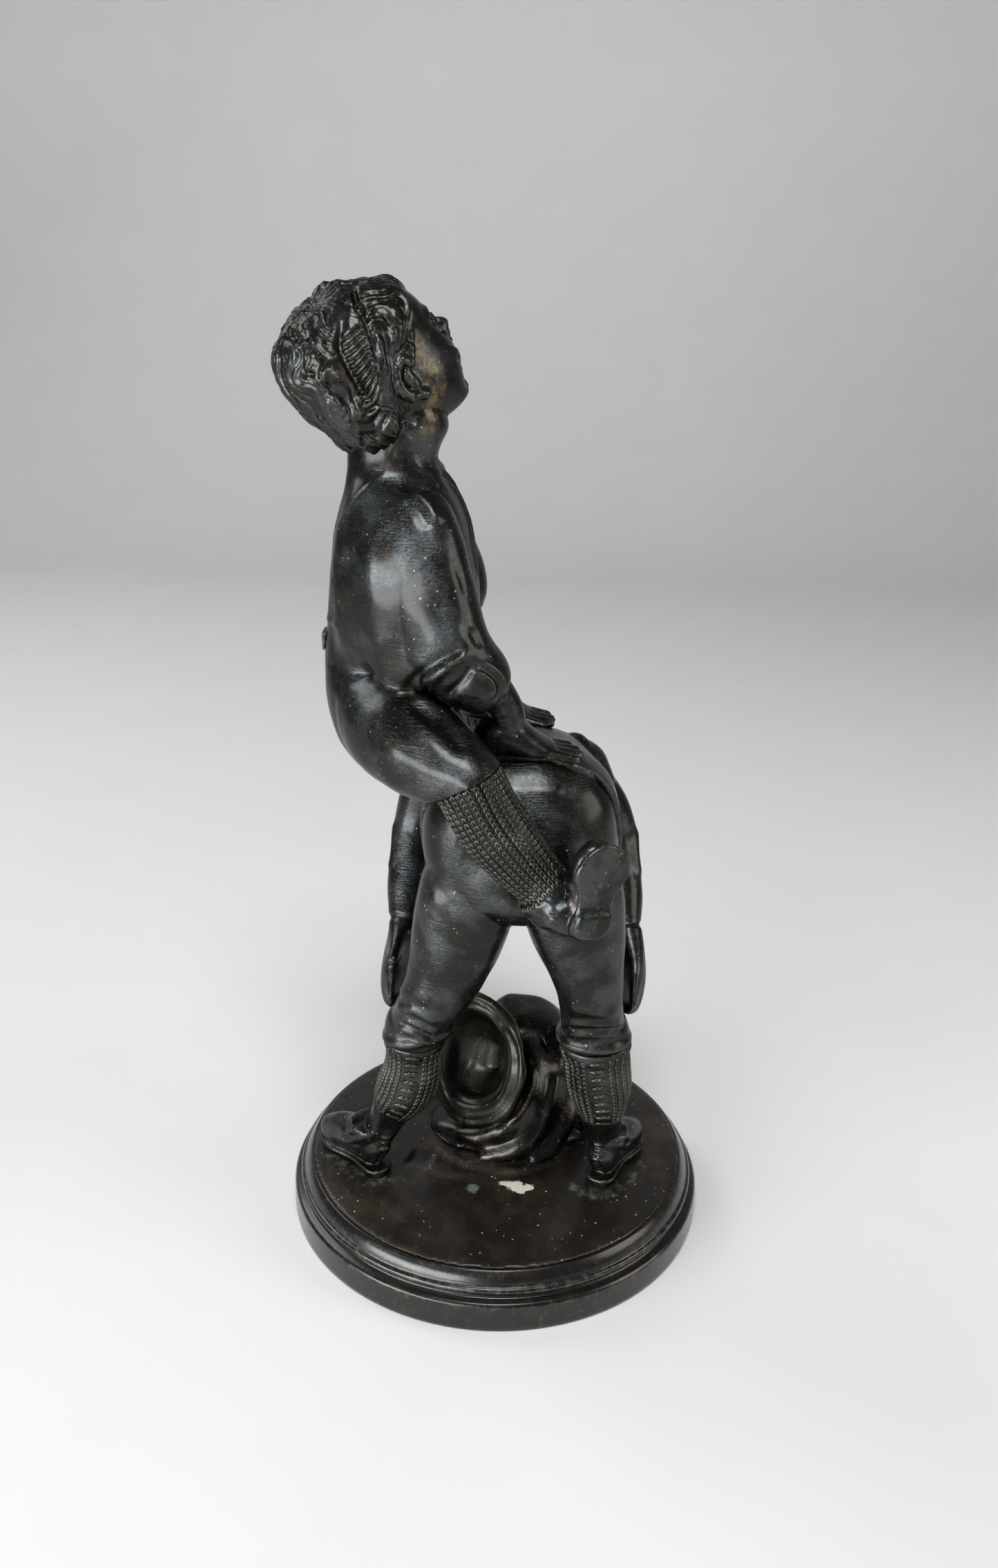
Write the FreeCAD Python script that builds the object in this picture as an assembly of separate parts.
import FreeCAD, Part
import math
import os

# Bronze statuette: one boy vaults over another in leapfrog, on a round turned base.
# Millimetres, +Z up. Origin at the centre of the base's underside.
# The stooping boy faces +Y with his back to -Y. The leaping boy faces +X and leans back.
# The figures are cast in sections and put together with spigots, sockets and pins.

# ---- driving dimensions ----
HEIGHT = 280.0            # underside of the base to the leaper's hair
BASE_RADIUS = 65.0        # foot of the turned socle
SOCLE_TOP = 17.0          # rim that surrounds the ground plate
SOCLE_WALL = 4.0
WEB_BOTTOM = 9.5          # plate across the socle that carries the ground plate
WEB_TOP = 13.5
GROUND_RADIUS = 58.6
GROUND_EDGE = 17.6        # rim of the ground plate
GROUND_LEVEL = 18.4       # ground under the stooper's soles
BACK_RISE = 3.4           # height of the mound behind the figures

SPIGOT_RADIUS = 3.6       # round tenon between two cast sections
SPIGOT_LENGTH = 7.0
SPIGOT_CLEARANCE = 0.12
PIN_RADIUS = 0.9          # blind cross pin from a socket's wall into its spigot
PIN_LENGTH = 5.2
STUD_RADIUS = 2.0         # threaded stud from a boot down through the base
NUT_ACROSS_FLATS = 7.0
NUT_HEIGHT = 3.2
WASHER_RADIUS = 5.0
WASHER_THICKNESS = 0.8

BOOT_LENGTH = 29.0
BOOT_WIDTH = 11.0
SOLE_THICKNESS = 1.8
HEEL_HEIGHT = 1.5         # heel lift below the sole
BOOT_HEIGHT = 15.5

HAT_BRIM_HEIGHT = 22.0    # half height of the brim, which stands on its edge
HAT_BRIM_WIDE = 21.5      # reach of the brim on the side away from the left foot
HAT_BRIM_NARROW = 15.5
HAT_MOUTH_HEIGHT = 14.4   # half height of the mouth of the crown
HAT_MOUTH_WIDTH = 10.6
HAT_DEPTH = 12.6
HAT_WALL = 1.8

# ---- where the two bodies stand ----
STOOPER_X = 4.0           # middle of the stooper's back
LEAPER_Y = -11.0          # middle of the leaper's trunk
HEAD_TILT = 38.0          # leaper's face above the horizontal, degrees
HEAD_TURN = 26.0          # leaper's face from +X towards +Y, degrees


def vector(x, y, z):
    return FreeCAD.Vector(x, y, z)


UP = vector(0, 0, 1)


def smooth_ring(points):
    """Closed smooth wire through a ring of points, in four edges."""
    curve = Part.BSplineCurve()
    curve.interpolate(points, PeriodicFlag=True)
    quarter = len(points) // 4
    stops = [curve.parameter(points[index * quarter]) for index in range(4)]
    stops[0] = curve.FirstParameter
    stops.append(curve.LastParameter)
    return Part.Wire([curve.toShape(start, end) for start, end in zip(stops, stops[1:])])


def section(centre, normal, side, half_sizes, squareness=2.2, lobes=0, lobe_depth=0.0):
    """Closed section across a limb.

    half_sizes is (a, b) or (a_plus, a_minus, b_plus, b_minus): a along side, b across it.
    lobes waves of lobe_depth run round the section, as locks of hair do.
    """
    if len(half_sizes) == 2:
        half_sizes = (half_sizes[0], half_sizes[0], half_sizes[1], half_sizes[1])
    normal = vector(*normal).normalize()
    side = vector(*side)
    side = (side - normal * side.dot(normal)).normalize()
    across = normal.cross(side)
    count = 3 * lobes if lobes else 12
    points = []
    for step in range(count):
        angle = 2 * math.pi * step / count
        reach_side = math.copysign(abs(math.cos(angle)) ** (2 / squareness), math.cos(angle))
        reach_across = math.copysign(abs(math.sin(angle)) ** (2 / squareness), math.sin(angle))
        reach_side *= half_sizes[0] if reach_side > 0 else half_sizes[1]
        reach_across *= half_sizes[2] if reach_across > 0 else half_sizes[3]
        wave = 1 + lobe_depth * math.cos(lobes * angle)
        points.append(vector(*centre) + side * (reach_side * wave) + across * (reach_across * wave))
    return smooth_ring(points)


def limb(stations, side, squareness=2.2, normals=None):
    """Solid through stations (x, y, z, half sizes...), each section square to the path."""
    centres = [vector(*station[:3]) for station in stations]
    rings = []
    for index, station in enumerate(stations):
        before = centres[max(index - 1, 0)]
        after = centres[min(index + 1, len(centres) - 1)]
        normal = after - before
        if normals and index in normals:
            normal = vector(*normals[index])
        rings.append(section(station[:3], tuple(normal), side, station[3:], squareness))
    return Part.makeLoft(rings, True, False)


def band(start, end, half_sizes, side=(1, 0, 0)):
    """Raised band of cloth round a limb, from start to end, thickest half way."""
    start = vector(*start)
    end = vector(*end)
    rings = []
    for share, swell in ((0.0, 0.94), (0.3, 1.0), (0.7, 1.0), (1.0, 0.94)):
        sizes = [size * swell for size in half_sizes]
        centre = start + (end - start) * share
        rings.append(section(tuple(centre), tuple(end - start), side, sizes))
    return Part.makeLoft(rings, True, False)


def ball(centre, radius):
    shape = Part.makeSphere(radius)
    shape.translate(vector(*centre))
    return shape


def rod(start, end, radius):
    start = vector(*start)
    axis = vector(*end) - start
    return Part.makeCylinder(radius, axis.Length, start, axis)


def tapered_rod(start, end, start_radius, end_radius):
    start = vector(*start)
    axis = vector(*end) - start
    return Part.makeCone(start_radius, end_radius, axis.Length, start, axis)


def ellipsoid(centre, half_sizes):
    """Ball stretched to its three half sizes."""
    matrix = FreeCAD.Matrix()
    matrix.scale(*half_sizes)
    shape = Part.makeSphere(1.0).transformGeometry(matrix)
    shape.translate(vector(*centre))
    return shape


def fused(*shapes):
    return shapes[0].fuse(list(shapes[1:]))


def half_space(point, normal, reach=160.0):
    """Large block that fills the side of a plane to which normal points."""
    normal = vector(*normal).normalize()
    block = Part.makeBox(2 * reach, 2 * reach, reach, vector(-reach, -reach, 0))
    block.Placement = FreeCAD.Placement(vector(*point), FreeCAD.Rotation(UP, normal))
    return block


def placed(shape, origin, forward, up):
    """Shape modelled with +X forward and +Z up, set at origin looking forward."""
    forward = vector(*forward).normalize()
    up = vector(*up)
    up = (up - forward * up.dot(forward)).normalize()
    left = up.cross(forward)
    turn = FreeCAD.Rotation(forward, left, up, "ZXY")
    result = shape.copy()
    result.Placement = FreeCAD.Placement(vector(*origin), turn)
    return result


# ---- spigots: each is (centre on the joint plane, direction into the socket) ----
JOINTS = {}


def spigot(name, extra=0.0):
    """Tenon that stands on the joint plane; extra widens and deepens it into a socket."""
    point, direction = JOINTS[name]
    axis = vector(*direction).normalize()
    start = vector(*point) - axis * 2.5
    length = 2.5 + SPIGOT_LENGTH + extra * 4
    return Part.makeCylinder(SPIGOT_RADIUS + extra, length, start, axis)


JOINTS.update({
    "stooper_waist": ((STOOPER_X, -27, 138), (0, 0.95, 0.31)),
    "stooper_neck": ((STOOPER_X, 31, 129), (0, 0.86, -0.5)),
    "stooper_left_shoulder": ((-18.5, 16.5, 138), (-0.84, 0.12, -0.52)),
    "stooper_right_shoulder": ((25.6, 16.0, 134.0), (0.84, 0.12, -0.52)),
    "stooper_left_knee": ((-24.5, -25.5, 73.5), (0.03, 0.1, -1)),
    "stooper_right_knee": ((28, -25.5, 73.5), (0.05, 0.1, -1)),
    "leaper_waist": ((-30, LEAPER_Y, 181), (0.05, 0, 1)),
    "leaper_neck": ((-30.5, LEAPER_Y, 233), (-0.12, 0.0, 1)),
    "leaper_right_shoulder": ((-23, LEAPER_Y - 14.5, 220), (0.05, -0.93, -0.36)),
    "leaper_left_shoulder": ((-25, LEAPER_Y + 14.5, 220), (0.05, 0.93, -0.36)),
    "leaper_right_knee": ((-9.5, -49.5, 161.5), (0.5, -0.15, -0.85)),
    "leaper_left_knee": ((-12.4, 46, 160), (0.25, 0.42, -0.87)),
})


def pin(name):
    """Blind cross pin, from a spigot's middle out into the wall of its socket."""
    point, direction = JOINTS[name]
    axis = vector(*direction).normalize()
    middle = vector(*point) + axis * (SPIGOT_LENGTH / 2)
    return Part.makeCylinder(PIN_RADIUS, PIN_LENGTH, middle, axis.cross(vector(1, 0.3, 0)))


def beyond(name):
    """Block on the far side of a joint plane, where the spigot points."""
    point, direction = JOINTS[name]
    return half_space(point, direction)


def before(name):
    """Block on the near side of a joint plane."""
    point, direction = JOINTS[name]
    return half_space(point, tuple(-value for value in direction))


def with_spigot(shape, name):
    """Section cut off at its joint plane, with the tenon standing on the cut face."""
    return fused(shape.cut(beyond(name)), spigot(name)).cut(pin(name))


def with_shoulder(trunk, arm, name):
    """Trunk cut back to receive an arm that is cut off at its joint plane, with the tenon."""
    return fused(trunk.cut(arm.cut(before(name))), spigot(name)).cut(pin(name))


def with_socket(shape, name):
    """Mating section cut off at the same plane, with the hole for the tenon."""
    return shape.cut(before(name)).cut(spigot(name, SPIGOT_CLEARANCE)).cut(pin(name))


# ---- base ----
def socle():
    """Turned ring: plinth, ledge, cove, bead and flared band, hollow underneath."""
    r = BASE_RADIUS
    outline = [
        Part.LineSegment(vector(r - SOCLE_WALL, 0, 0), vector(r, 0, 0)),
        Part.LineSegment(vector(r, 0, 0), vector(r - 0.4, 0, 9.1)),
        Part.LineSegment(vector(r - 0.4, 0, 9.1), vector(r - 1.3, 0, 9.6)),
        Part.Arc(vector(r - 1.3, 0, 9.6), vector(r - 2.9, 0, 9.9), vector(r - 3.4, 0, 11.0)),
        Part.Arc(vector(r - 3.4, 0, 11.0), vector(r - 2.4, 0, 12.0), vector(r - 3.4, 0, 13.0)),
        Part.Arc(vector(r - 3.4, 0, 13.0), vector(r - 4.3, 0, 13.4), vector(r - 4.4, 0, 14.2)),
        Part.Arc(vector(r - 4.4, 0, 14.2), vector(r - 4.9, 0, 15.8), vector(r - 5.8, 0, SOCLE_TOP)),
        Part.LineSegment(vector(r - 5.8, 0, SOCLE_TOP), vector(GROUND_RADIUS - 1.2, 0, SOCLE_TOP)),
        Part.LineSegment(vector(GROUND_RADIUS - 1.2, 0, SOCLE_TOP), vector(GROUND_RADIUS - 1.2, 0, WEB_TOP)),
        Part.LineSegment(vector(GROUND_RADIUS - 1.2, 0, WEB_TOP), vector(0, 0, WEB_TOP)),
        Part.LineSegment(vector(0, 0, WEB_TOP), vector(0, 0, WEB_BOTTOM)),
        Part.LineSegment(vector(0, 0, WEB_BOTTOM), vector(r - SOCLE_WALL - 1.5, 0, WEB_BOTTOM)),
        Part.LineSegment(vector(r - SOCLE_WALL - 1.5, 0, WEB_BOTTOM), vector(r - SOCLE_WALL, 0, 0)),
    ]
    face = Part.Face(Part.Wire([edge.toShape() for edge in outline]))
    ring = face.revolve(vector(0, 0, 0), UP, 360)
    for foot in fastener_places():
        ring = ring.cut(rod((foot[0], foot[1], 0), (foot[0], foot[1], 30), STUD_RADIUS + 0.15))
    return ring


def ground_shape():
    """Uneven ground: a low dome with a mound towards the back."""
    rim = GROUND_RADIUS
    top = Part.BSplineCurve()
    top.interpolate([vector(rim, 0, GROUND_EDGE), vector(rim - 8, 0, GROUND_EDGE + 0.5),
                     vector(rim / 2, 0, GROUND_LEVEL + 0.1), vector(0, 0, GROUND_LEVEL + 0.2)])
    seat = GROUND_RADIUS - 1.4
    edges = [
        top.toShape(),
        Part.makeLine(vector(0, 0, GROUND_LEVEL + 0.2), vector(0, 0, WEB_TOP)),
        Part.makeLine(vector(0, 0, WEB_TOP), vector(seat, 0, WEB_TOP)),
        Part.makeLine(vector(seat, 0, WEB_TOP), vector(seat, 0, SOCLE_TOP)),
        Part.makeLine(vector(seat, 0, SOCLE_TOP), vector(rim, 0, SOCLE_TOP)),
        Part.makeLine(vector(rim, 0, SOCLE_TOP), vector(rim, 0, GROUND_EDGE)),
    ]
    plate = Part.Face(Part.Wire(edges)).revolve(vector(0, 0, 0), UP, 360)
    mound = ellipsoid((-2, 34, GROUND_LEVEL - 2.5), (40, 19, BACK_RISE + 2.5))
    mound = mound.cut(half_space((0, 0, WEB_TOP + 1), (0, 0, -1)))
    return fused(plate, mound)


def terrace():
    """Ground plate that drops into the socle; the studs pass through it."""
    plate = ground_shape()
    for foot in fastener_places():
        plate = plate.cut(rod((foot[0], foot[1], 0), (foot[0], foot[1], 40), STUD_RADIUS + 0.15))
    return plate


# ---- boots and stockings ----
def boot(heel, toe_direction, up=(0, 0, 1), length=BOOT_LENGTH):
    """Ankle boot with a heel block and a welted sole; heel is the back of the sole."""
    half = BOOT_WIDTH / 2
    scale = length / BOOT_LENGTH
    upper_stations = [
        (0.6, 0, 6.4, half * 0.50, 3.6),
        (3.0, 0, 7.6, half * 0.80, 6.0),
        (8.0, 0, 8.6, half * 0.86, 7.2),
        (13.0, 0, 7.6, half * 0.84, 6.4),
        (18.0, 0, 5.8, half * 0.92, 4.6),
        (23.5, 0, 4.9, half * 0.96, 3.7),
        (27.5, 0, 4.4, half * 0.72, 3.0),
        (29.6, 0, 4.1, half * 0.30, 1.6),
    ]
    upper_stations = [(x * scale, y, z, a, b) for x, y, z, a, b in upper_stations]
    upper = limb(upper_stations, (0, 1, 0), 2.4)
    outline = []
    for x, y in ((-0.6, 0), (0.8, half * 0.66), (6, half * 0.80), (12, half * 0.74), (20, half * 1.06),
                 (27, half * 0.80), (30.6, 0)):
        outline.append(vector(x * scale, y, 0))
    outline += [vector(point.x, -point.y, 0) for point in reversed(outline[1:-1])]
    sole = Part.Face(smooth_ring(outline)).extrude(vector(0, 0, SOLE_THICKNESS))
    waist_cut = Part.makeBox(30, 2 * BOOT_WIDTH, 3, vector(9 * scale, -BOOT_WIDTH, -3))
    heel_block = Part.Face(smooth_ring(outline)).extrude(vector(0, 0, -HEEL_HEIGHT)).cut(waist_cut)
    whole = fused(upper, sole, heel_block)
    shaft = limb([(7.6 * scale, 0, 5, 5.0, 4.4), (7.2 * scale, 0, 10, 5.8, 5.4),
                  (6.8 * scale, 0, BOOT_HEIGHT - 0.6, 6.5, 6.2), (6.7 * scale, 0, BOOT_HEIGHT + 0.4, 6.2, 5.9)],
                 (1, 0, 0))
    return placed(fused(whole, shaft), heel, toe_direction, up)


def stooper_leg(name, stations, cuff, heel, toe_direction):
    """Knitted stocking with its rolled knee cuff, on an ankle boot that stands on the ground."""
    stocking = fused(limb(stations, (1, 0, 0)), cuff)
    leg = with_socket(stocking, name)
    leg = fused(leg, boot(heel, toe_direction))
    x, y = stud_place(heel, toe_direction)
    hole = rod((x, y, 0), (x, y, GROUND_LEVEL + 9), STUD_RADIUS + 0.1)
    return leg.cut(ground_shape()).cut(hole)


LEFT_HEEL = (-34.5, -20.5, GROUND_LEVEL + 1.0)
LEFT_TOE_DIRECTION = (-0.70, 0.71, 0)
RIGHT_HEEL = (31.0, -22.5, GROUND_LEVEL + 1.0)
RIGHT_TOE_DIRECTION = (0.47, 0.88, 0)
BUNDLE_SCREW_PLACE = (6.0, 26.0)


def stud_place(heel, toe_direction):
    return heel[0] + 8 * toe_direction[0], heel[1] + 8 * toe_direction[1]


def fastener_places():
    """Holes through the base: one under each boot and one under the bundle."""
    return [stud_place(LEFT_HEEL, LEFT_TOE_DIRECTION), stud_place(RIGHT_HEEL, RIGHT_TOE_DIRECTION),
            BUNDLE_SCREW_PLACE]


def stooper_left_leg():
    stations = [
        (-24.2, -26.0, 77.0, 7.4, 7.6),
        (-24.4, -25.6, 73.2, 8.0, 8.2),
        (-24.6, -25.2, 69.0, 8.1, 8.4),
        (-25.0, -24.6, 62.5, 8.1, 8.6),
        (-27.6, -23.0, 53.0, 8.3, 8.4),
        (-31.0, -20.0, 45.0, 6.6, 6.8),
        (-33.6, -17.6, 38.0, 5.5, 5.6),
        (-37.0, -16.4, 30.0, 4.8, 4.8),
        (-38.6, -16.0, 25.0, 3.8, 3.8),
    ]
    cuff = band((-24.4, -25.6, 75.0), (-24.6, -25.3, 69.4), (8.7, 9.0))
    return stooper_leg("stooper_left_knee", stations, cuff, LEFT_HEEL, LEFT_TOE_DIRECTION)


def stooper_right_leg():
    stations = [
        (27.6, -26.0, 77.0, 8.4, 7.8),
        (28.0, -25.6, 73.2, 9.4, 8.4),
        (28.6, -25.0, 68.0, 9.6, 8.8),
        (29.4, -24.2, 61.0, 9.6, 8.8),
        (31.0, -22.4, 51.5, 8.1, 8.2),
        (31.6, -20.0, 44.0, 6.5, 6.8),
        (32.4, -18.0, 37.0, 5.7, 5.6),
        (33.8, -16.6, 30.0, 4.9, 4.8),
        (34.4, -16.2, 25.0, 3.8, 3.8),
    ]
    cuff = band((27.9, -25.7, 75.0), (28.4, -25.2, 69.0), (10.1, 9.2))
    return stooper_leg("stooper_right_knee", stations, cuff, RIGHT_HEEL, RIGHT_TOE_DIRECTION)


# ---- stooper: breeches, jacket, head, arms ----
def stooper_hips():
    x = STOOPER_X
    return limb([
        (x, -47.0, 139, 8.0, 8.0),
        (x, -45.3, 139, 15.5, 15.0),
        (x, -41.5, 138.5, 21.5, 20.0),
        (x, -35.0, 138.5, 25.5, 24.0),
        (x + 0.5, -26.0, 138.5, 26.5, 25.0),
        (x + 0.5, -15.0, 138.0, 25.5, 23.5),
        (x, -4.0, 138.0, 23.5, 22.5),
    ], (1, 0, 0), 2.3)


def stooper_breeches():
    """Seat and both thighs, down to the knee bands."""
    left_thigh = limb([
        (-7.0, -31.0, 136, 11.0, 13.0),
        (-9.5, -31.0, 122, 13.5, 14.0),
        (-12.5, -30.0, 108, 12.8, 13.2),
        (-15.8, -29.0, 96, 10.9, 11.6),
        (-19.6, -28.0, 86, 9.4, 10.2),
        (-23.0, -26.6, 78, 8.6, 9.2),
        (-24.6, -25.6, 71, 8.6, 9.0),
    ], (1, 0, 0), 2.3)
    right_thigh = limb([
        (16.0, -31.0, 136, 12.0, 13.0),
        (19.0, -31.0, 122, 14.0, 14.0),
        (22.0, -30.0, 108, 12.4, 13.2),
        (24.8, -29.0, 96, 9.9, 11.6),
        (26.2, -28.0, 86, 9.1, 10.2),
        (27.0, -26.6, 78, 8.9, 9.2),
        (28.0, -25.6, 71, 9.6, 9.2),
    ], (1, 0, 0), 2.3)
    left_band = band((-23.2, -26.5, 79.2), (-24.4, -25.8, 72.6), (9.3, 9.8))
    right_band = band((26.9, -26.6, 79.2), (27.9, -25.8, 72.6), (10.2, 9.9))
    seat = fused(stooper_hips(), left_thigh, right_thigh, left_band, right_band)
    seat = with_spigot(seat, "stooper_waist")
    seat = with_spigot(seat, "stooper_left_knee")
    return with_spigot(seat, "stooper_right_knee")


def stooper_back():
    """Outer form of the jacket before the arms, head and breeches are let in."""
    x = STOOPER_X
    return limb([
        (x, -40.0, 138.5, 24.0, 22.4),
        (x + 0.3, -35.0, 138.5, 26.6, 25.1),
        (x + 0.5, -26.0, 138.5, 27.5, 26.0),
        (x + 0.3, -14.0, 138, 26.2, 24.4),
        (x, 0.0, 138, 23.6, 21.9),
        (x, 10.0, 136.5, 23.4, 19.0),
        (x, 19.0, 133.5, 23.4, 16.4),
        (x, 26.5, 130.5, 19.6, 13.2),
        (x, 32.0, 128, 13.0, 9.5),
        (x, 36.0, 126, 7.0, 5.5),
    ], (1, 0, 0), 2.4)


def stooper_jacket():
    """Short jacket on the bent back, from the hem at the waist to the collar."""
    trunk = with_socket(stooper_back(), "stooper_waist")
    trunk = with_spigot(trunk, "stooper_neck")
    trunk = with_shoulder(trunk, stooper_left_arm_shape(), "stooper_left_shoulder")
    return with_shoulder(trunk, stooper_right_arm_shape(), "stooper_right_shoulder")


def stooper_head():
    """Bowed head between the arms, face down, with short hair."""
    neck = limb([(STOOPER_X, 28, 130.5, 10, 8.6), (STOOPER_X, 32.5, 126, 8.6, 8.2),
                 (STOOPER_X, 36, 119, 9, 8.4)], (1, 0, 0))
    skull = boy_head((STOOPER_X + 0.6, 37.2, 110.0), (0, -0.50, -0.87), (0, 0.87, -0.50), 0.78)
    return with_socket(fused(neck, skull), "stooper_neck")


def stooper_left_arm_shape():
    """Sleeve and forearm, with the hand braced on the knee."""
    arm = limb([
        (-14.0, 16.0, 142.0, 8.0, 9.0),
        (-19.0, 16.5, 138.5, 8.4, 9.2),
        (-23.5, 16.5, 132.5, 8.0, 8.8),
        (-26.5, 14.5, 123.0, 7.2, 7.6),
        (-28.0, 10.0, 113.0, 7.0, 7.2),
        (-28.6, 4.0, 104.0, 6.6, 6.8),
        (-28.8, -2.0, 97.5, 5.4, 6.0),
        (-29.6, -6.0, 93.0, 4.6, 4.8),
    ], (1, 0, 0))
    grip = hand((-29.6, -5.0, 95.0), (-0.13, -0.60, -0.79), (-0.92, 0.35, -0.1), 1.3)
    return fused(arm, grip)


def stooper_right_arm_shape():
    """Sleeve and forearm, with the hand braced on the knee."""
    arm = limb([
        (21.0, 15.5, 138.0, 8.0, 9.0),
        (26.0, 16.0, 133.6, 8.4, 9.2),
        (30.2, 16.0, 127.6, 8.0, 8.8),
        (33.4, 14.5, 121.0, 7.2, 7.6),
        (35.0, 10.0, 112.0, 7.0, 7.2),
        (36.0, 4.0, 104.0, 6.6, 6.8),
        (36.4, -2.0, 97.5, 5.4, 6.0),
        (37.4, -6.0, 93.0, 4.6, 4.8),
    ], (1, 0, 0))
    grip = hand((37.6, -5.0, 97.0), (0.06, -0.60, -0.80), (0.92, 0.35, -0.1), 1.35)
    return fused(arm, grip)


def stooper_left_arm():
    return with_socket(stooper_left_arm_shape(), "stooper_left_shoulder").cut(stooper_breeches())


def stooper_right_arm():
    return with_socket(stooper_right_arm_shape(), "stooper_right_shoulder").cut(stooper_breeches())


# ---- hands and heads ----
def hand(wrist, reach, back, size=1.0):
    """Open hand: palm, four fingers and a thumb. reach runs to the fingertips."""
    palm = limb([
        (-2.0, 0, 0, 3.6, 3.2),
        (1.5, 0, 0, 3.9, 3.0),
        (5.5, 0, -0.2, 5.2, 2.7),
        (9.0, 0, -0.4, 5.6, 2.4),
    ], (0, 1, 0), 2.6)
    pieces = [palm]
    for index, length in enumerate((8.2, 9.4, 8.9, 7.2)):
        offset = (index - 1.5) * 2.7
        tip = (8.2 + length, offset * 1.12, -2.0)
        pieces.append(tapered_rod((7.6, offset, -0.4), tip, 1.75, 1.35))
        pieces.append(ball(tip, 1.36))
    thumb_tip = (7.4, 7.6, -2.4)
    pieces.append(tapered_rod((0.8, 2.6, -0.6), thumb_tip, 2.2, 1.6))
    pieces.append(ball(thumb_tip, 1.62))
    whole = fused(*pieces)
    whole.scale(size)
    return placed(whole, wrist, reach, back)


def boy_head(centre, forward, up, size=1.0):
    """Plain head with a cap of hair: sections stacked from chin to crown."""
    face_levels = [
        (9.5, 0, -21.0, 4.5, 4.0, 4.6, 4.6),
        (7.0, 0, -18.5, 9.5, 9.0, 9.0, 9.0),
        (3.5, 0, -13.0, 14.5, 13.0, 13.6, 13.6),
        (1.0, 0, -6.0, 18.6, 16.0, 16.0, 16.0),
        (0.0, 0, 1.5, 18.8, 18.0, 16.6, 16.6),
        (-0.5, 0, 9.0, 18.4, 18.6, 16.6, 16.6),
        (-1.0, 0, 15.0, 14.0, 15.0, 13.4, 13.4),
        (-1.5, 0, 18.5, 7.0, 8.0, 7.0, 7.0),
    ]
    rings = [section(level[:3], (0, 0, 1), (1, 0, 0), level[3:]) for level in face_levels]
    skull = Part.makeLoft(rings, True, False)
    nose = ellipsoid((18.6, 0, -4.2), (3.0, 2.3, 3.2))
    hair_levels = [
        (-12.0, 0, -15.0, 4.0, 6.5, 10.5, 10.5),
        (-9.5, 0, -10.0, 9.0, 10.8, 15.4, 15.4),
        (-6.5, 0, -2.0, 10.5, 15.8, 18.8, 18.8),
        (-4.0, 0, 6.0, 17.6, 20.0, 19.8, 19.8),
        (-2.0, 0, 13.0, 18.8, 21.6, 18.6, 18.6),
        (-2.4, 0, 18.8, 14.0, 18.2, 14.6, 14.6),
        (-3.0, 0, 22.6, 6.8, 9.4, 7.6, 7.6),
    ]
    rings = [section(level[:3], (0, 0, 1), (1, 0, 0), level[3:], 2.1, 8, 0.035) for level in hair_levels]
    hair = Part.makeLoft(rings, True, False)
    whole = fused(skull, nose, hair)
    whole.scale(size)
    return placed(whole, centre, forward, up)


# ---- leaper: trunk, breeches, head, arms, legs ----
def leaper_torso():
    """Shirt and open waistcoat, from the waist to the collar."""
    y = LEAPER_Y
    trunk = limb([
        (-29.5, y, 176, 20.0, 15.5),
        (-29.0, y, 184, 20.6, 16.5),
        (-28.4, y, 193, 20.2, 17.5),
        (-28.3, y, 203, 19.6, 18.5),
        (-28.6, y, 212, 18.4, 19.4),
        (-29.2, y, 221, 16.6, 19.0),
        (-30.2, y, 228, 13.8, 15.2),
        (-30.6, y, 232, 12.6, 12.2),
        (-30.8, y, 236, 12.6, 11.8),
    ], (1, 0, 0), 2.4, {0: (0, 0, 1)})
    trunk = with_socket(trunk, "leaper_waist")
    trunk = with_spigot(trunk, "leaper_neck")
    trunk = with_shoulder(trunk, leaper_right_arm_shape(), "leaper_right_shoulder")
    return with_shoulder(trunk, leaper_left_arm_shape(), "leaper_left_shoulder")


def leaper_breeches():
    """Seat and both thighs, spread wide over the stooper's back."""
    y = LEAPER_Y
    seat = limb([
        (-29.6, y, 186, 19.8, 16.0),
        (-30.2, y, 178, 19.6, 18.5),
        (-31.0, y, 168, 17.6, 19.5),
        (-30.0, y, 159, 14.0, 17.0),
        (-28.0, y, 153, 8.0, 11.0),
    ], (1, 0, 0), 2.3)
    right_thigh = limb([
        (-32.0, -16.0, 172, 13.0, 14.0),
        (-30.0, -26.0, 170, 14.2, 14.4),
        (-24.0, -37.0, 167.5, 12.8, 13.4),
        (-16.0, -45.0, 164.5, 10.6, 11.4),
        (-10.0, -49.0, 162.0, 9.4, 9.6),
        (-6.0, -51.5, 157.5, 8.8, 8.8),
    ], (0, 0, 1), 2.2)
    left_thigh = limb([
        (-32.0, -6.0, 172, 13.0, 14.0),
        (-30.0, 6.0, 170, 14.2, 14.4),
        (-25.0, 20.0, 168.5, 12.6, 13.2),
        (-18.5, 35.0, 165.5, 10.6, 11.2),
        (-12.5, 45.0, 161.0, 9.4, 9.6),
        (-9.0, 49.0, 156.0, 8.8, 8.8),
    ], (0, 0, 1), 2.2)
    whole = fused(seat, right_thigh, left_thigh)
    whole = with_spigot(whole, "leaper_waist")
    whole = with_spigot(whole, "leaper_right_knee")
    whole = with_spigot(whole, "leaper_left_knee")
    whole = whole.cut(stooper_hips()).cut(stooper_back())
    return whole.cut(leaper_right_arm_shape()).cut(leaper_left_arm_shape())


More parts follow.
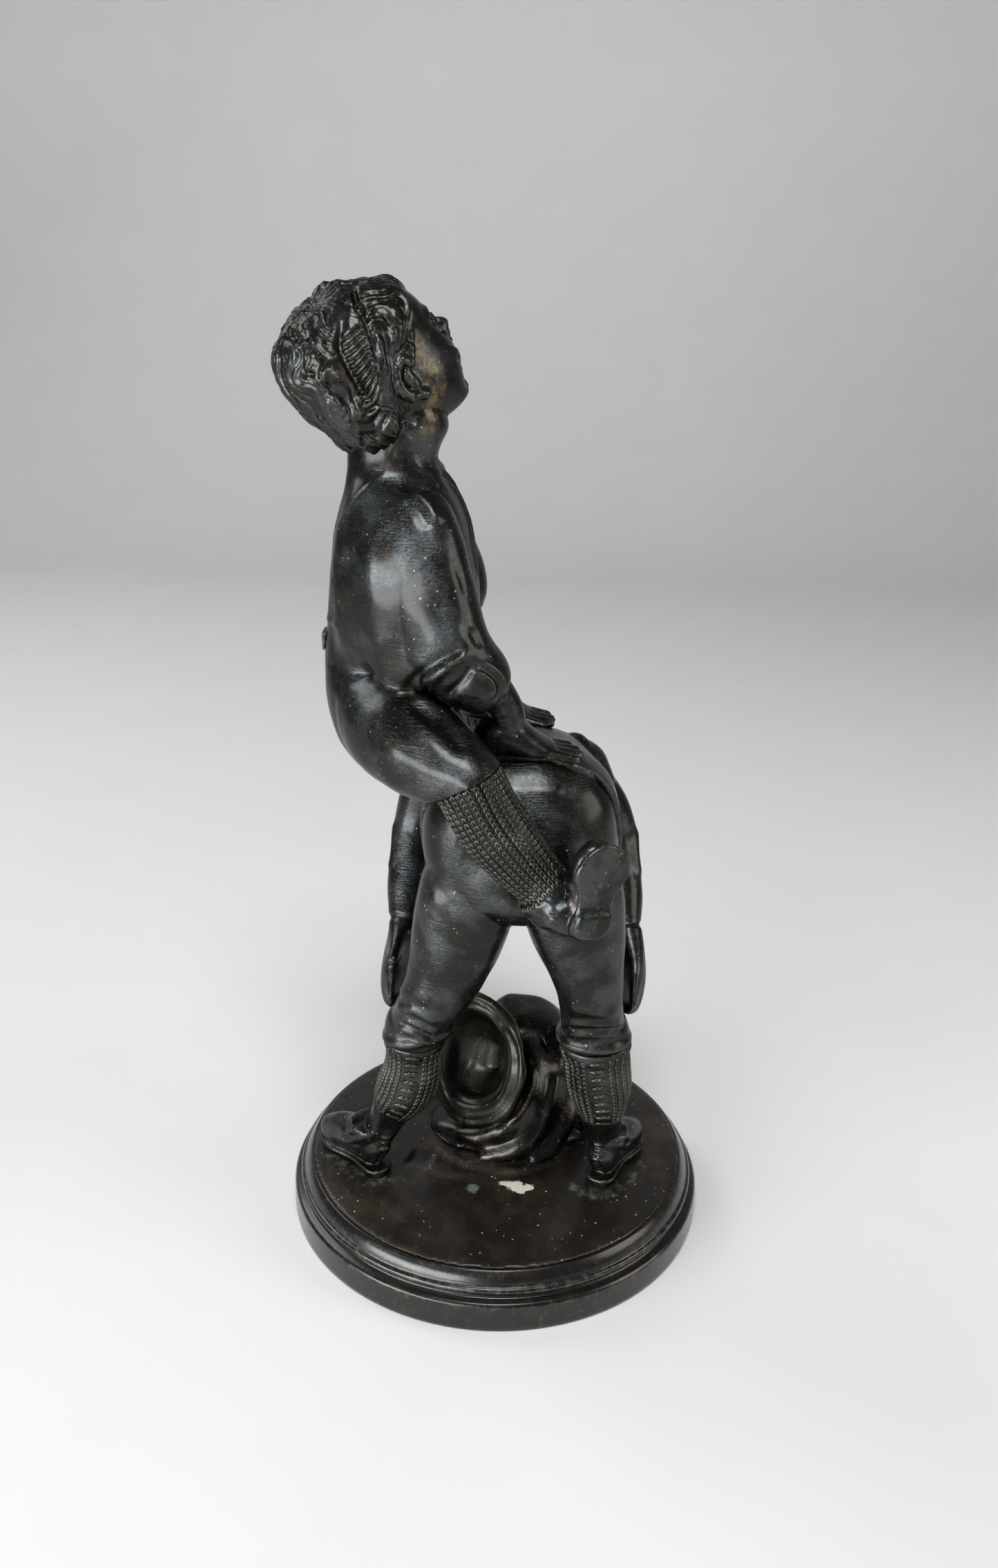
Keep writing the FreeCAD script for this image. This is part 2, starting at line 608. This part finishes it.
def leaper_head():
    """Head thrown back, looking up, with thick tousled hair."""
    tilt = math.radians(HEAD_TILT)
    turn = math.radians(HEAD_TURN)
    forward = (math.cos(tilt) * math.cos(turn), math.cos(tilt) * math.sin(turn), math.sin(tilt))
    up = (-math.sin(tilt) * math.cos(turn), -math.sin(tilt) * math.sin(turn), math.cos(tilt))
    neck = limb([
        (-30.5, LEAPER_Y, 230, 11.0, 10.4),
        (-30.8, LEAPER_Y, 236, 11.2, 10.6),
        (-30.0, LEAPER_Y, 243, 12.2, 10.8),
        (-27.8, LEAPER_Y, 248.5, 12.0, 10.4),
        (-25.6, LEAPER_Y, 252.5, 8.0, 8.0),
    ], (1, 0, 0))
    whole = fused(neck, boy_head((-34.5, LEAPER_Y, HEIGHT - 22.4), forward, up, 0.95))
    return with_socket(whole, "leaper_neck")


def flat_hand(wrist, reach, size=1.0):
    """Hand pressed flat on the stooper's back: a high heel, a palm and four fingers.

    wrist is the point under the middle of the wrist on the surface; reach runs to the fingertips.
    """
    palm = limb([
        (-8.0, 0, 3.0, 3.4, 2.4),
        (-5.5, 0, 5.0, 5.4, 4.9),
        (-0.5, 0, 6.2, 6.4, 5.6),
        (4.5, 0, 4.6, 6.8, 4.2),
        (9.0, 0, 3.0, 6.4, 2.8),
        (11.5, 0, 2.5, 5.6, 2.2),
    ], (0, 1, 0), 2.4)
    pieces = [palm]
    for index, length in enumerate((6.6, 8.0, 7.6, 6.0)):
        offset = (index - 1.5) * 3.1
        tip = (10.4 + length, offset * 1.1, 1.7)
        pieces.append(tapered_rod((9.6, offset, 2.6), tip, 1.95, 1.55))
        pieces.append(ball(tip, 1.56))
    whole = fused(*pieces)
    whole.scale(size)
    return placed(whole, wrist, reach, (0.08, 0, 1))


def leaper_arm(sleeve, forearm, wrist, reach):
    """Arm in a full sleeve that sags at the elbow and is rolled up above the wrist."""
    cloth = limb(sleeve, (0, 1, 0), 2.2)
    skin = limb(forearm, (0, 1, 0), 2.2)
    return fused(cloth, skin, flat_hand(wrist, reach))


def leaper_right_arm_shape():
    """The sleeve hangs beside the trunk and turns forward at the elbow."""
    y = LEAPER_Y
    sleeve = [
        (-25.0, y - 12.0, 228.0, 7.0, 8.0),
        (-23.6, y - 16.5, 222.0, 9.2, 9.6),
        (-21.2, y - 20.6, 212.0, 9.8, 10.8),
        (-18.8, y - 22.6, 201.5, 10.0, 11.2),
        (-15.6, y - 23.4, 192.6, 10.4, 11.0),
        (-10.4, y - 23.6, 186.4, 10.0, 9.6),
        (-6.2, y - 23.2, 182.8, 9.2, 8.4),
        (-3.6, y - 22.6, 180.6, 7.6, 6.6),
    ]
    forearm = [
        (-10.0, y - 22.8, 186.0, 5.6, 5.4),
        (-4.0, y - 22.0, 180.6, 5.6, 5.2),
        (-0.6, y - 21.2, 175.4, 5.0, 4.6),
        (0.4, y - 20.4, 169.8, 5.2, 4.8),
        (1.2, y - 20.0, 166.0, 4.6, 4.4),
    ]
    return leaper_arm(sleeve, forearm, (0.4, y - 19.6, 161.6), (1, 0.10, -0.04))


def leaper_left_arm_shape():
    """The far sleeve ends in a bulge at the elbow; the forearm drops straight to the hand."""
    y = LEAPER_Y
    sleeve = [
        (-27.0, y + 12.0, 228.0, 7.0, 8.0),
        (-25.6, y + 16.5, 222.0, 9.2, 9.6),
        (-22.4, y + 20.6, 213.0, 9.6, 9.8),
        (-18.8, y + 23.0, 205.0, 9.6, 9.8),
        (-16.4, y + 23.8, 198.0, 9.6, 9.6),
        (-15.4, y + 24.0, 192.0, 8.4, 8.0),
        (-15.2, y + 24.0, 189.8, 6.0, 5.6),
    ]
    forearm = [
        (-16.0, y + 23.8, 196.0, 5.4, 5.2),
        (-13.8, y + 23.4, 187.6, 5.2, 4.9),
        (-10.6, y + 22.6, 177.6, 4.8, 4.5),
        (-7.4, y + 21.2, 168.6, 4.6, 4.2),
        (-5.4, y + 20.0, 163.6, 4.6, 4.4),
    ]
    return leaper_arm(sleeve, forearm, (-5.8, y + 19.0, 158.6), (1, -0.16, -0.04))


def leaper_right_arm():
    arm = with_socket(leaper_right_arm_shape(), "leaper_right_shoulder")
    return arm.cut(stooper_hips()).cut(stooper_back())


def leaper_left_arm():
    arm = with_socket(leaper_left_arm_shape(), "leaper_left_shoulder")
    return arm.cut(stooper_hips()).cut(stooper_back())


def leaper_leg(name, stations, heel, toe_direction, sole_up, side):
    """Stocking and boot in the air, below the knee joint."""
    leg = with_socket(limb(stations, side), name)
    whole = fused(leg, boot(heel, toe_direction, sole_up, 24.5))
    return whole.cut(stooper_hips()).cut(stooper_back())


def leaper_right_leg():
    stations = [
        (-12.5, -48.0, 165.5, 8.2, 8.2),
        (-9.0, -49.0, 161.0, 9.0, 8.8),
        (-5.5, -50.0, 154.5, 8.8, 8.8),
        (-1.0, -51.0, 148.0, 8.8, 8.6),
        (5.0, -52.0, 141.0, 7.8, 7.6),
        (11.0, -53.0, 135.0, 6.6, 6.4),
        (15.5, -54.5, 131.5, 4.6, 4.6),
    ]
    return leaper_leg("leaper_right_knee", stations, (21.8, -62.2, 125.0), (0.17, 0.04, 0.98),
                      (-0.46, 0.88, 0.04), (0, 1, 0))


def leaper_left_leg():
    stations = [
        (-14.6, 42.0, 165.5, 8.2, 8.2),
        (-12.8, 45.0, 161.0, 9.0, 8.8),
        (-11.2, 48.8, 155.0, 8.8, 8.8),
        (-9.6, 52.4, 148.5, 8.6, 8.4),
        (-8.2, 55.2, 142.0, 7.2, 7.0),
        (-7.0, 57.0, 136.5, 5.6, 5.6),
        (-6.4, 58.4, 131.0, 4.2, 4.2),
    ]
    return leaper_leg("leaper_left_knee", stations, (-6.0, 59.2, 121.0), (0.93, -0.05, 0.36),
                      (-0.36, 0.0, 0.93), (1, 0, 0))


def belt_buckle():
    """Small buckle of the waistcoat's back strap, standing off the small of the back."""
    frame = Part.makeBox(1.6, 6.0, 5.0, vector(-50.2, LEAPER_Y - 3.0, 184.6))
    window = Part.makeBox(4.0, 3.2, 2.6, vector(-52.0, LEAPER_Y - 1.6, 185.8))
    tongue = Part.makeBox(1.0, 0.9, 4.4, vector(-50.2, LEAPER_Y - 0.45, 184.9))
    return fused(frame.cut(window), tongue).cut(leaper_torso())


# ---- hat and bundled coat between the stooper's feet ----
HAT_CENTRE = (-8.0, 4.0, GROUND_LEVEL + 27.6)
HAT_AXIS = (0.58, 0.78, -0.24)          # from the opening to the crown


def oval_loft(levels):
    """Oval shape along +X: levels are (x, half height, reach to -Y, reach to +Y)."""
    rings = []
    for x, height, wide, narrow in levels:
        rings.append(section((x, 0, 0), (1, 0, 0), (0, 0, 1), (height, height, wide, narrow), 2.05))
    return Part.makeLoft(rings, True, False)


def hat_outside():
    """Outer form of the hat: curled brim, then the crown. The mouth of the crown is at x = 0."""
    tall, wide, narrow = HAT_BRIM_HEIGHT, HAT_BRIM_WIDE, HAT_BRIM_NARROW
    mouth, broad, depth = HAT_MOUTH_HEIGHT + HAT_WALL, HAT_MOUTH_WIDTH + HAT_WALL, HAT_DEPTH
    return placed(oval_loft([
        (-2.6, tall - 0.6, wide - 0.6, narrow - 0.6),
        (-1.0, tall, wide, narrow),
        (0.8, tall - 3.0, wide - 3.0, narrow - 2.2),
        (3.0, mouth + 0.6, broad + 1.6, broad + 0.6),
        (5.8, mouth - 0.4, broad, broad - 0.2),
        (depth - 3.8, mouth - 1.4, broad - 1.2, broad - 1.2),
        (depth - 1.2, mouth * 0.68, broad * 0.68, broad * 0.68),
        (depth, mouth * 0.34, broad * 0.34, broad * 0.34),
    ]), HAT_CENTRE, HAT_AXIS, (0, 0, 1))


def hat_inside():
    """Hollow of the hat: the dished brim and the inside of the crown."""
    tall, wide, narrow = HAT_BRIM_HEIGHT, HAT_BRIM_WIDE, HAT_BRIM_NARROW
    mouth, broad, depth = HAT_MOUTH_HEIGHT, HAT_MOUTH_WIDTH, HAT_DEPTH - HAT_WALL
    return placed(oval_loft([
        (-4.2, tall - 1.8, wide - 1.8, narrow - 1.6),
        (-2.2, tall - 2.6, wide - 2.4, narrow - 2.2),
        (-0.4, tall - 5.0, wide - 5.4, narrow - 3.8),
        (1.6, mouth + 0.2, broad + 0.8, broad + 0.2),
        (4.6, mouth - 0.8, broad - 0.4, broad - 0.6),
        (depth - 3.2, mouth - 1.8, broad - 1.6, broad - 1.6),
        (depth - 1.0, mouth * 0.62, broad * 0.62, broad * 0.62),
        (depth, mouth * 0.30, broad * 0.30, broad * 0.30),
    ]), HAT_CENTRE, HAT_AXIS, (0, 0, 1))


def hat():
    """Felt hat on its brim edge, leaning on the bundle, hollow towards the front."""
    return hat_outside().cut(hat_inside()).cut(ground_shape())


def coat_folds():
    """Folds of cloth that fall from the heap on to the ground beside and before the hat."""
    g = GROUND_LEVEL
    paths = (
        [(9, 12, g + 32, 4.0, 5.0), (12, 3, g + 25, 4.4, 4.6), (10, -5, g + 12, 5.0, 4.2), (3, -9, g + 3, 4.6, 3.6),
         (-4, -9, g - 1, 3.6, 3.0)],
        [(18, 16, g + 33, 4.0, 5.0), (20, 8, g + 24, 4.2, 4.4), (18, 0, g + 12, 4.8, 4.2), (12, -6, g + 2, 5.0, 3.6),
         (7, -9, g - 2, 4.0, 3.0)],
        [(23, 22, g + 28, 3.6, 4.4), (26, 15, g + 17, 4.0, 4.0), (26, 8, g + 6, 4.4, 3.8), (24, 3, g - 2, 4.0, 3.2)],
    )
    return [limb(path, (1, 0, 0)) for path in paths]


def coat_bundle():
    """Rolled coat lying in a heap behind the hat, its skirts spread over the ground."""
    heap = limb([
        (8.0, 21.0, GROUND_LEVEL - 3, 19.0, 15.0),
        (8.0, 21.0, GROUND_LEVEL + 4, 20.0, 17.0),
        (8.4, 22.0, GROUND_LEVEL + 13, 18.5, 16.5),
        (9.0, 23.0, GROUND_LEVEL + 22, 16.2, 15.0),
        (9.6, 23.5, GROUND_LEVEL + 30, 13.6, 12.4),
        (10.0, 23.5, GROUND_LEVEL + 36, 8.6, 7.6),
    ], (1, 0, 0), 2.5)
    skirt = ellipsoid((4, 8, GROUND_LEVEL - 2), (27, 19, 9)).cut(half_space((0, 0, GROUND_LEVEL - 3), (0, 0, -1)))
    heap = fused(heap, skirt, *coat_folds())
    x, y = BUNDLE_SCREW_PLACE
    hole = rod((x, y, 0), (x, y, GROUND_LEVEL + 9), STUD_RADIUS - 0.3)
    heap = heap.cut(ground_shape()).cut(hat_outside()).cut(hole)
    return max(heap.Solids, key=lambda solid: solid.Volume)


# ---- fixings ----
def joint_pins():
    """The cross pins of every spigot joint."""
    return Part.makeCompound([pin(name) for name in JOINTS])


def foot_studs():
    """One stud from each boot down through the ground plate and the socle."""
    studs = []
    for x, y in fastener_places()[:2]:
        studs.append(rod((x, y, WEB_BOTTOM - 6.0), (x, y, GROUND_LEVEL + 8), STUD_RADIUS))
    return Part.makeCompound(studs)


def hexagon(x, y, z, height, bore):
    radius = NUT_ACROSS_FLATS / math.sqrt(3)
    corners = [vector(x + radius * math.cos(math.radians(60 * step)),
                      y + radius * math.sin(math.radians(60 * step)), z) for step in range(7)]
    prism = Part.Face(Part.makePolygon(corners)).extrude(vector(0, 0, height))
    return prism.cut(rod((x, y, z - 1), (x, y, z + height + 1), bore))


def stud_nuts():
    z = WEB_BOTTOM - WASHER_THICKNESS - NUT_HEIGHT
    return Part.makeCompound([hexagon(x, y, z, NUT_HEIGHT, STUD_RADIUS) for x, y in fastener_places()[:2]])


def stud_washers():
    washers = []
    for x, y in fastener_places():
        z = WEB_BOTTOM - WASHER_THICKNESS
        bore = rod((x, y, z - 1), (x, y, z + 2), STUD_RADIUS + 0.15)
        washers.append(rod((x, y, z), (x, y, WEB_BOTTOM), WASHER_RADIUS).cut(bore))
    return Part.makeCompound(washers)


def bundle_screw():
    """Round-headed screw from below that holds the bundle down."""
    x, y = BUNDLE_SCREW_PLACE
    z = WEB_BOTTOM - WASHER_THICKNESS
    shank = rod((x, y, z), (x, y, GROUND_LEVEL + 8), STUD_RADIUS - 0.4)
    head = ball((x, y, z), 3.6).cut(half_space((x, y, z), (0, 0, 1)))
    slot = Part.makeBox(8, 0.8, 1.2, vector(x - 4, y - 0.4, z - 3.8))
    return fused(shank, head.cut(slot))


def write(name, shape):
    assert shape.isValid(), name
    shape.exportStep("parts/" + name + ".step")


def main():
    os.makedirs("parts", exist_ok=True)
    pieces = (socle, terrace, stooper_left_leg, stooper_right_leg, stooper_breeches, stooper_jacket,
              stooper_head, stooper_left_arm, stooper_right_arm, leaper_breeches, leaper_torso,
              leaper_head, leaper_right_arm, leaper_left_arm, leaper_right_leg, leaper_left_leg, belt_buckle,
              hat, coat_bundle, joint_pins, foot_studs, stud_nuts, stud_washers, bundle_screw)
    for piece in pieces:
        write(piece.__name__, piece())


main()
